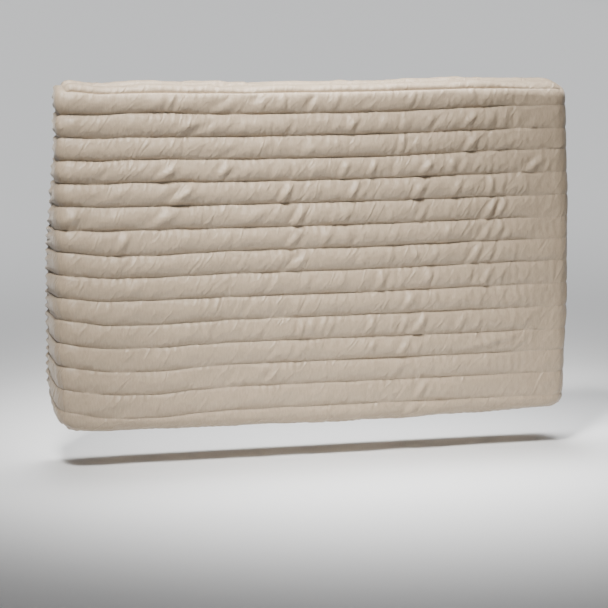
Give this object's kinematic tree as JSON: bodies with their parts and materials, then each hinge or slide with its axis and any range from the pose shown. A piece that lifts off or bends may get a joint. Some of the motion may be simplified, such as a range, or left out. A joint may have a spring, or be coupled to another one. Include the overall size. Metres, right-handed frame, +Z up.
{
  "type": "air conditioner cover",
  "caption": "Quilted cloth cover for a window air conditioner, a shallow padded box with level sewn channels and an open back.",
  "frame": {"origin": "against the underside of the top wall, at its middle, where the cover hangs on the unit it covers", "axes": "+X along the width, to the right seen from the front; -Y out of the quilted front, +Y out of the open back; +Z up"},
  "size_m": [0.6516, 0.0995, 0.4125],
  "materials": {
    "quilted_cloth": "beige woven polyester, satin"
  },
  "bodies": {
    "root": {"quilted_cover": "quilted_cloth"}
  },
  "joints": []
}
